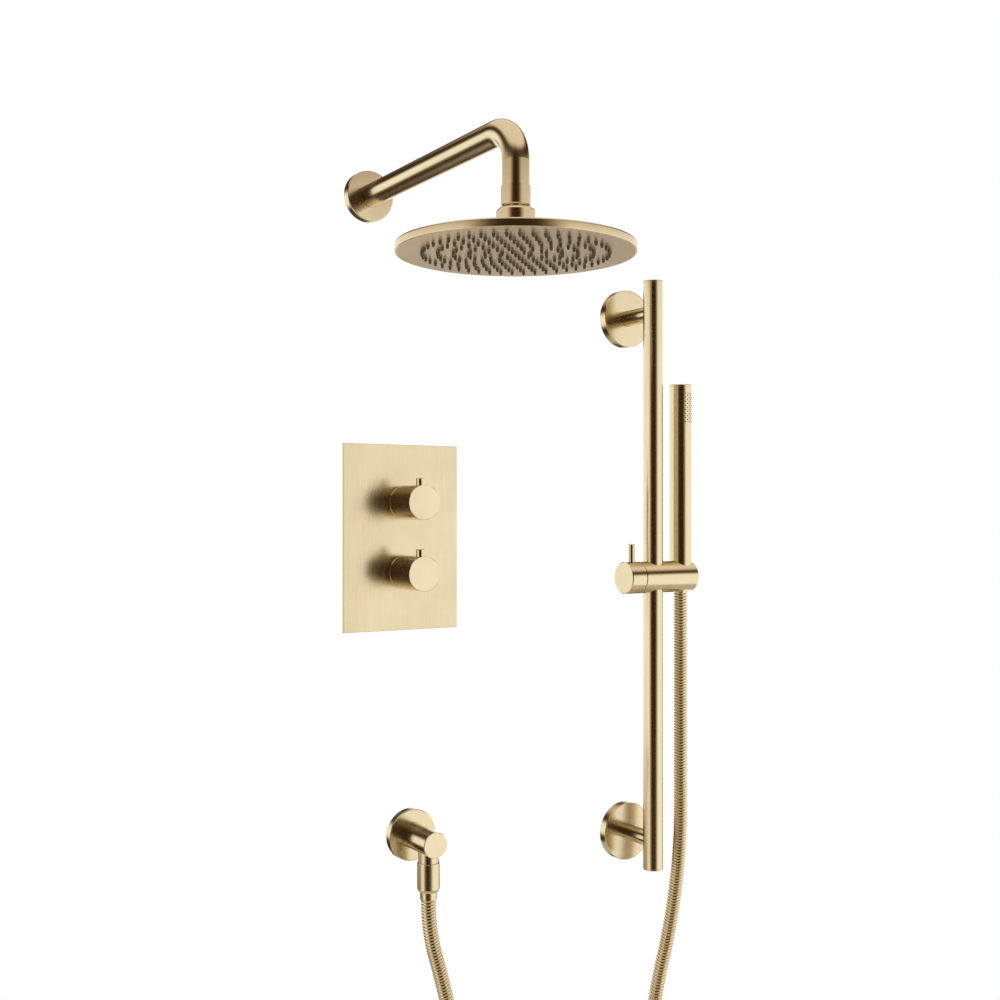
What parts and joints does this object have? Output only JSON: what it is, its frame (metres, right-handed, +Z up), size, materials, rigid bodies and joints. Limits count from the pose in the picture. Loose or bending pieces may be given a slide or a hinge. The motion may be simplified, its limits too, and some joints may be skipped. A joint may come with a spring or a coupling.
{
  "type": "concealed shower set",
  "caption": "Wall shower set: round overhead shower on a bent arm, rectangular valve plate with cylindrical handles, slide rail with a pencil hand shower, outlet and hose.",
  "frame": {"origin": "middle of the valve's cover plate, on the face of the finished wall", "axes": "+Z up along the slide rail, +Y into the wall, +X to the right for someone facing the wall"},
  "size_m": [0.4775, 0.453, 1.2689],
  "materials": {
    "brushed_brass": "satin brushed, gold-brass colour",
    "face_metal": "pale fine satin",
    "raw_brass": "as machined and as cast, unplated",
    "steel": "stainless, plain",
    "white_plastic": "moulded",
    "cartridge_plastic": "glass-filled, moulded",
    "black_rubber": "matt",
    "nozzle_silicone": "matt dark grey-brown silicone",
    "hose_spiral": "brass-coloured interlocked metal spiral over a rubber inner tube"
  },
  "bodies": {
    "root": {"arm_tube": "brushed_brass", "arm_flange": "brushed_brass", "arm_inlet_nipple": "raw_brass", "arm_outlet_nipple": "raw_brass", "ball_connector": "brushed_brass", "strainer_washer": "black_rubber", "cover_plate": "brushed_brass", "plate_seal": "black_rubber", "control_sleeves": "brushed_brass", "valve_body": "raw_brass", "flow_cartridge": "cartridge_plastic", "temperature_cartridge": "cartridge_plastic", "cartridge_nuts": "raw_brass", "inlet_check_valves": "white_plastic", "rail_tube": "brushed_brass", "rail_caps": "brushed_brass", "rail_posts": "brushed_brass", "rail_rosettes": "brushed_brass", "wall_bosses": "steel", "wall_screws": "steel", "wall_plugs": "white_plastic", "post_grub_screws": "steel", "post_screws": "steel", "outlet_rosette": "brushed_brass", "outlet_body": "brushed_brass", "outlet_nipple": "raw_brass", "outlet_check_valve": "white_plastic", "hose_nut": "brushed_brass", "hose_washer": "black_rubber", "hose_ferrule": "brushed_brass", "hose": "hose_spiral"},
    "ball_seat_ring": {"ball_seat": "white_plastic"},
    "ball_liner_ring": {"ball_liner": "white_plastic"},
    "overhead_shower": {"socket_nut": "brushed_brass", "head_hub": "raw_brass", "head_shell": "brushed_brass", "head_face_plate": "face_metal", "nozzle_mat": "nozzle_silicone"},
    "flow_handle": {"flow_knob": "brushed_brass", "flow_knob_insert": "white_plastic", "flow_spindle": "raw_brass", "flow_button_spring": "steel"},
    "flow_button": {"flow_stop_button": "brushed_brass"},
    "temperature_handle": {"temperature_knob": "brushed_brass", "temperature_knob_insert": "white_plastic", "temperature_spindle": "raw_brass", "temperature_button_spring": "steel"},
    "temperature_button": {"temperature_stop_button": "brushed_brass"},
    "rail_carriage": {"holder_bush": "white_plastic"},
    "holder": {"holder_body": "brushed_brass", "brake_pad": "white_plastic"},
    "clamp": {"clamp_knob": "brushed_brass", "clamp_bolt": "brushed_brass", "clamp_lever": "brushed_brass"},
    "hose_end": {"handset_cone_nut": "brushed_brass", "handset_washer": "black_rubber"},
    "handset": {"handset_body": "brushed_brass", "handset_cap": "brushed_brass", "handset_spray_strip": "nozzle_silicone", "handset_inlet": "raw_brass"}
  },
  "joints": [
    {"name": "head_tilt_x", "type": "hinge", "parent": "root", "child": "ball_seat_ring", "pos_m": [-0.038, -0.283, 0.2631], "axis": [1, 0, 0], "range_deg": [-5, 5]},
    {"name": "head_tilt_y", "type": "hinge", "parent": "ball_seat_ring", "child": "ball_liner_ring", "pos_m": [-0.038, -0.283, 0.2631], "axis": [0, 1, 0], "range_deg": [-5, 5]},
    {"name": "head_spin", "type": "hinge", "parent": "ball_liner_ring", "child": "overhead_shower", "pos_m": [-0.038, -0.283, 0.2631], "axis": [0, 0, 1], "continuous": true},
    {"name": "flow_turn", "type": "hinge", "parent": "root", "child": "flow_handle", "pos_m": [0, -0.012, 0.0357], "axis": [0, 1, 0], "range_deg": [-90, 90]},
    {"name": "flow_button_press", "type": "slide", "parent": "flow_handle", "child": "flow_button", "axis": [0, 0, -1], "range_m": [0, 0.0025], "stiffness_N_per_m": 900, "springref_m": -0.002, "deforming": ["flow_button_spring"]},
    {"name": "temperature_turn", "type": "hinge", "parent": "root", "child": "temperature_handle", "pos_m": [0, -0.012, -0.0357], "axis": [0, 1, 0], "range_deg": [-120, 60]},
    {"name": "temperature_button_press", "type": "slide", "parent": "temperature_handle", "child": "temperature_button", "axis": [0, 0, -1], "range_m": [0, 0.0025], "stiffness_N_per_m": 900, "springref_m": -0.002, "deforming": ["temperature_button_spring"]},
    {"name": "holder_slide", "type": "slide", "parent": "root", "child": "rail_carriage", "axis": [0, 0, 1], "range_m": [-0.24, 0.24], "deforming": ["hose"]},
    {"name": "holder_swivel", "type": "hinge", "parent": "rail_carriage", "child": "holder", "pos_m": [0.2875, -0.0557, -0.0463], "axis": [0, 0, 1], "range_deg": [-50, 50], "deforming": ["hose"]},
    {"name": "clamp_turn", "type": "hinge", "parent": "holder", "child": "clamp", "pos_m": [0.2573, -0.0557, -0.0463], "axis": [1, 0, 0], "range_deg": [0, 90]},
    {"name": "handset_lift", "type": "slide", "parent": "holder", "child": "hose_end", "axis": [0, 0, 1], "range_m": [0, 0.045], "deforming": ["hose"]},
    {"name": "handset_spin", "type": "hinge", "parent": "hose_end", "child": "handset", "pos_m": [0.3269, -0.0557, -0.0463], "axis": [0, 0, 1], "continuous": true}
  ]
}
